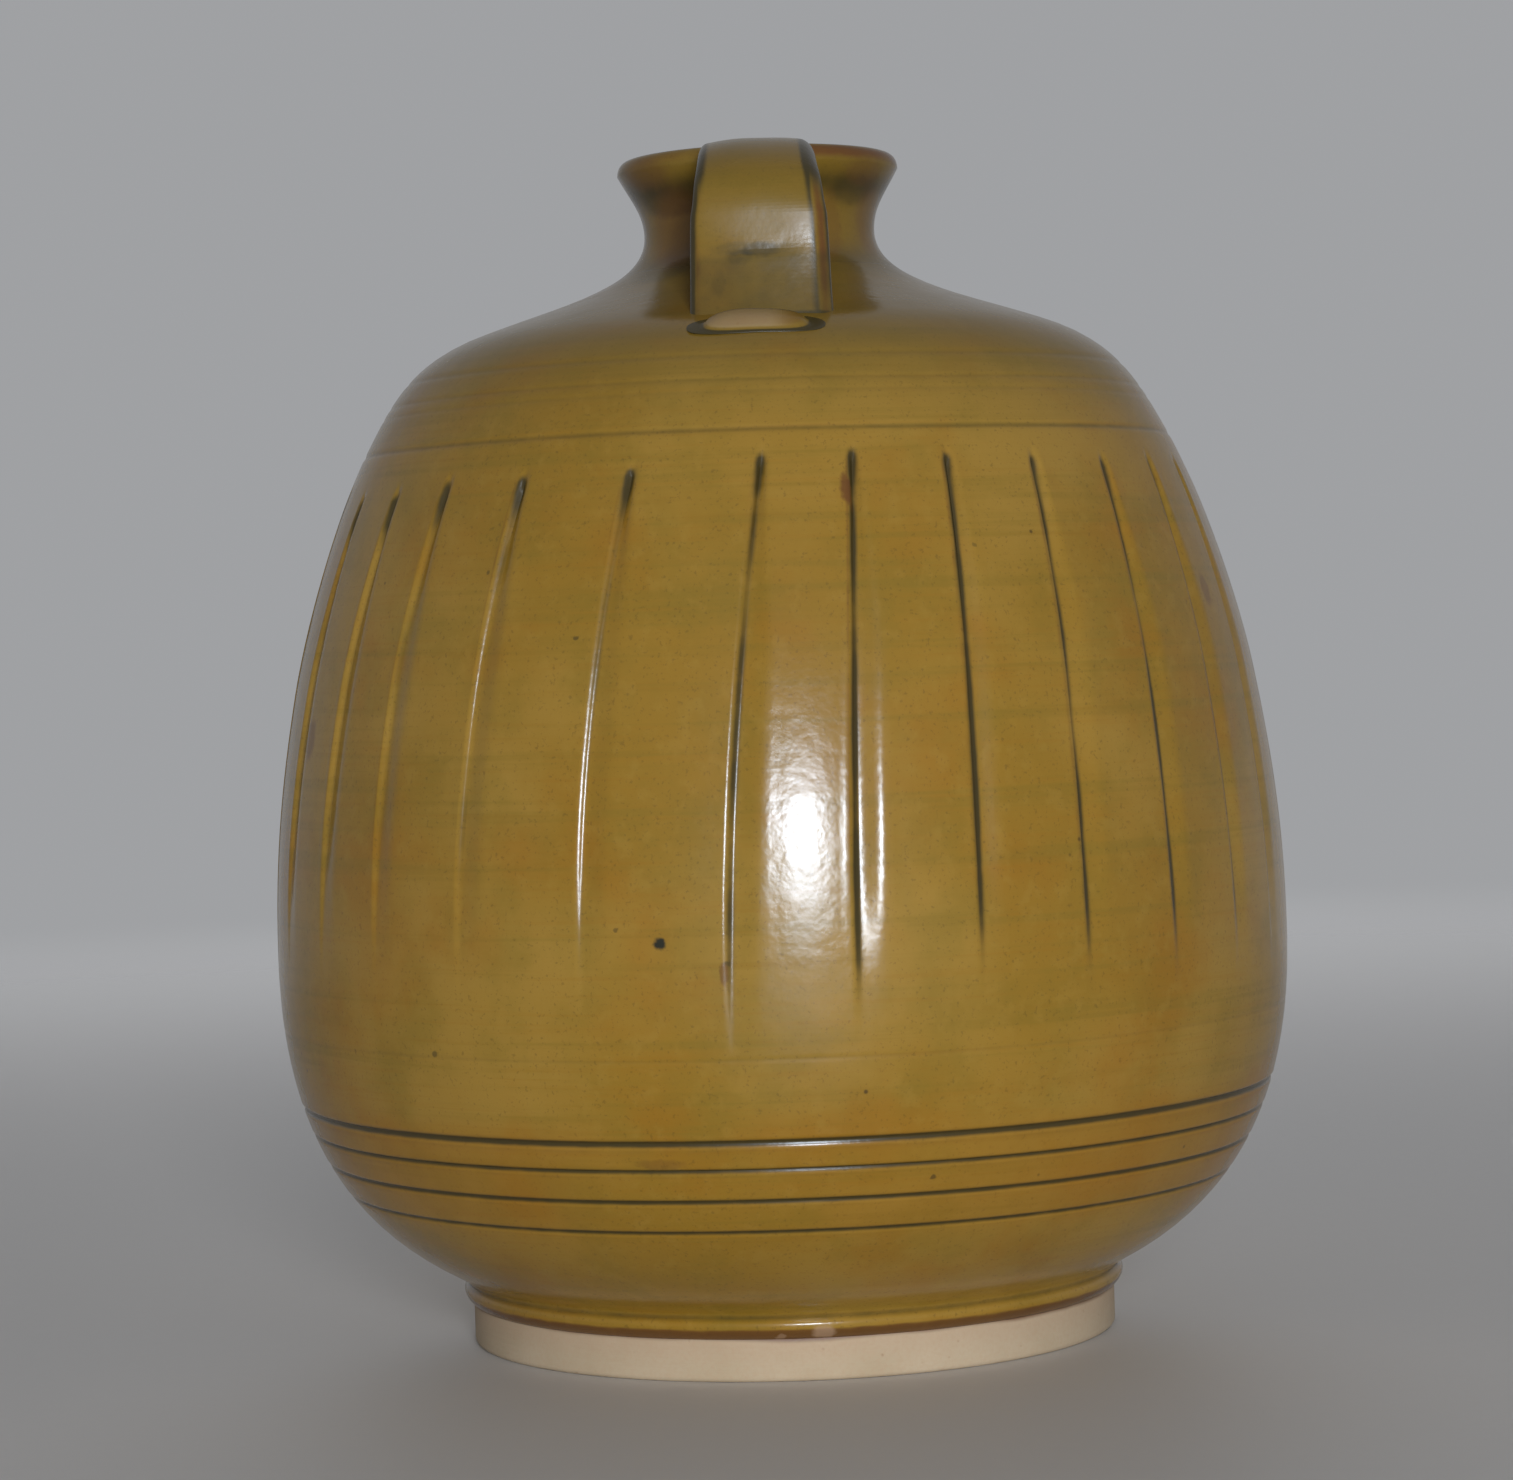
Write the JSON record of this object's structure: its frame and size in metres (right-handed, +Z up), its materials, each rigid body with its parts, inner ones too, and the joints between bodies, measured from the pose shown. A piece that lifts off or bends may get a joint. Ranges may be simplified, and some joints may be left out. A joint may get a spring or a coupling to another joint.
{
  "type": "two-handled vase",
  "caption": "Squat fluted stoneware bottle vase with an angular shoulder, waisted neck, flared lip and two strap handles, on a bare turned foot.",
  "frame": {"origin": "centre of the foot ring's underside, where the vase stands", "axes": "+Z up through the mouth, -Y towards the front handle, +Y towards the rear handle"},
  "size_m": [0.175, 0.175, 0.2042],
  "materials": {
    "glaze": "glossy ochre glaze, brown where it thins on edges and olive where it pools",
    "bare_clay": "matte unglazed buff stoneware"
  },
  "bodies": {
    "root": {"foot_ring": "bare_clay", "vase_body": "glaze", "neck_and_lip": "glaze", "front_handle": "glaze", "front_handle_toe": "glaze", "rear_handle": "glaze", "rear_handle_toe": "glaze"}
  },
  "joints": []
}
